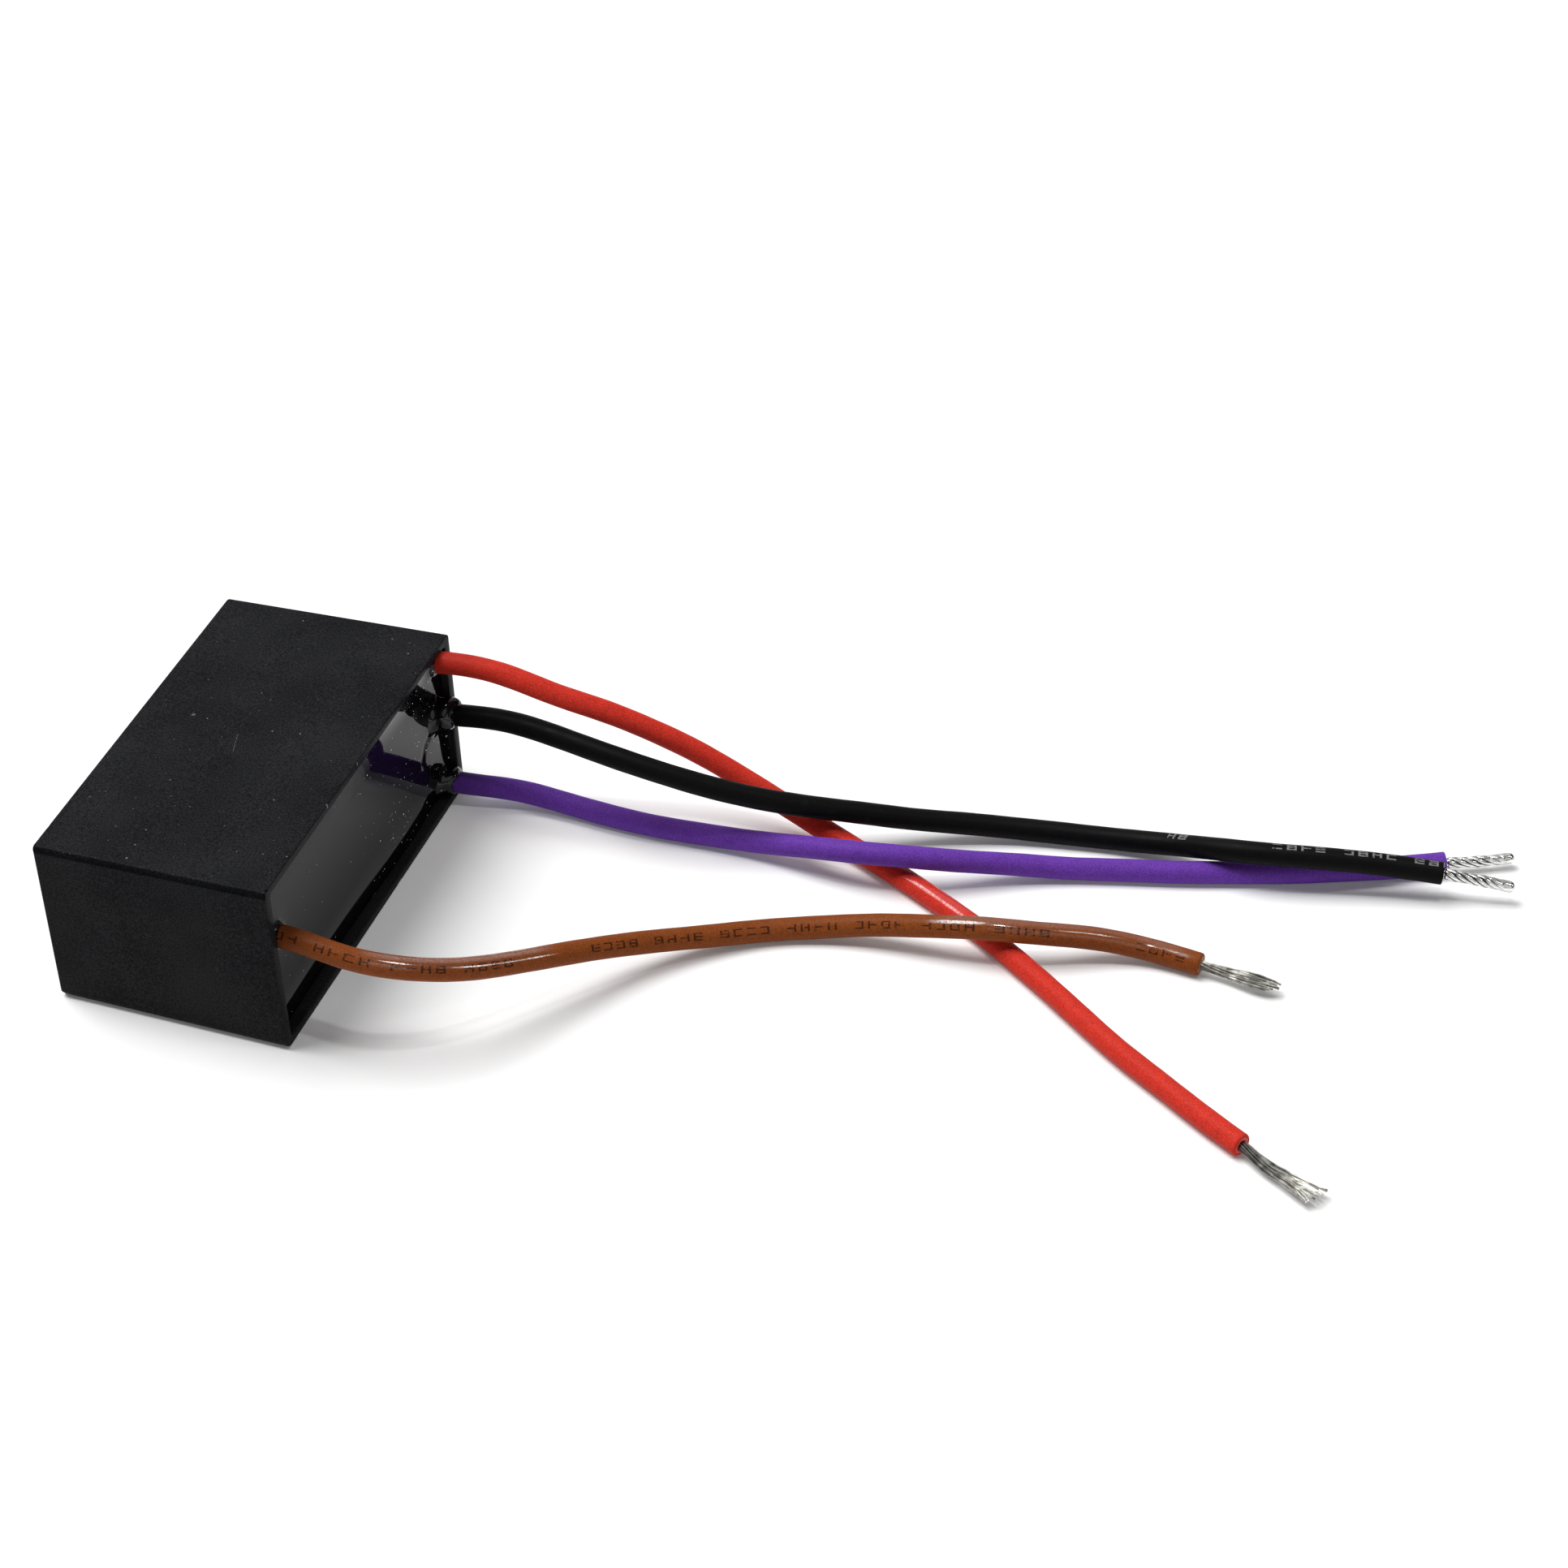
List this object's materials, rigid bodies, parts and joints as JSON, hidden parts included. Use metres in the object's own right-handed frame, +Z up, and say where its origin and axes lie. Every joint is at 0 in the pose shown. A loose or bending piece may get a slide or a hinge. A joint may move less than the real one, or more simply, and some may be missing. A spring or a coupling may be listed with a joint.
{
  "type": "potted electrical module",
  "caption": "Small black rectangular tub filled with glossy resin, holding flat film windings, with coloured flying leads that leave the resin face and end stripped.",
  "frame": {"origin": "centre of the case's flat resting face, on the surface that it lies on", "axes": "+X the way the open, potted face looks and the leads leave; +Y along the case's long side, towards the end with three leads; +Z up, through the case's thickness"},
  "size_m": [0.1605, 0.0764, 0.024],
  "materials": {
    "case_plastic": "satin black moulded flame-retardant plastic",
    "potting_resin": "mirror-like black epoxy",
    "metallised_film": "wound metallised film",
    "wrap_film": "clear yellowish film",
    "zinc_spray": "rough sprayed zinc",
    "solder": "bright solder",
    "tinned_copper": "tinned copper strands",
    "red_pvc": "satin PVC",
    "black_pvc": "satin PVC",
    "purple_pvc": "satin PVC",
    "brown_pvc": "gloss PVC"
  },
  "bodies": {
    "root": {"case_tub": "case_plastic", "potting_compound": "potting_resin", "film_winding_bottom": "metallised_film", "film_winding_middle": "metallised_film", "film_winding_top": "metallised_film", "outer_film_wrap_bottom": "wrap_film", "outer_film_wrap_middle": "wrap_film", "outer_film_wrap_top": "wrap_film", "end_spray_bottom_far": "zinc_spray", "end_spray_bottom_near": "zinc_spray", "end_spray_middle_far": "zinc_spray", "end_spray_middle_near": "zinc_spray", "end_spray_top_far": "zinc_spray", "end_spray_top_near": "zinc_spray", "solder_joint_red": "solder", "solder_joint_black": "solder", "solder_joint_purple": "solder", "solder_joint_brown": "solder", "solder_joint_common_bottom": "solder", "solder_joint_common_middle": "solder", "solder_joint_common_top": "solder", "common_bus_wire": "tinned_copper", "red_conductor_tail": "tinned_copper", "black_conductor_tail": "tinned_copper", "purple_conductor_tail": "tinned_copper", "brown_conductor_tail": "tinned_copper", "red_lead": "red_pvc", "black_lead": "black_pvc", "purple_lead": "purple_pvc", "brown_lead": "brown_pvc", "red_bare_end": "tinned_copper", "black_bare_end": "tinned_copper", "purple_bare_end": "tinned_copper", "brown_bare_end": "tinned_copper"}
  },
  "joints": []
}
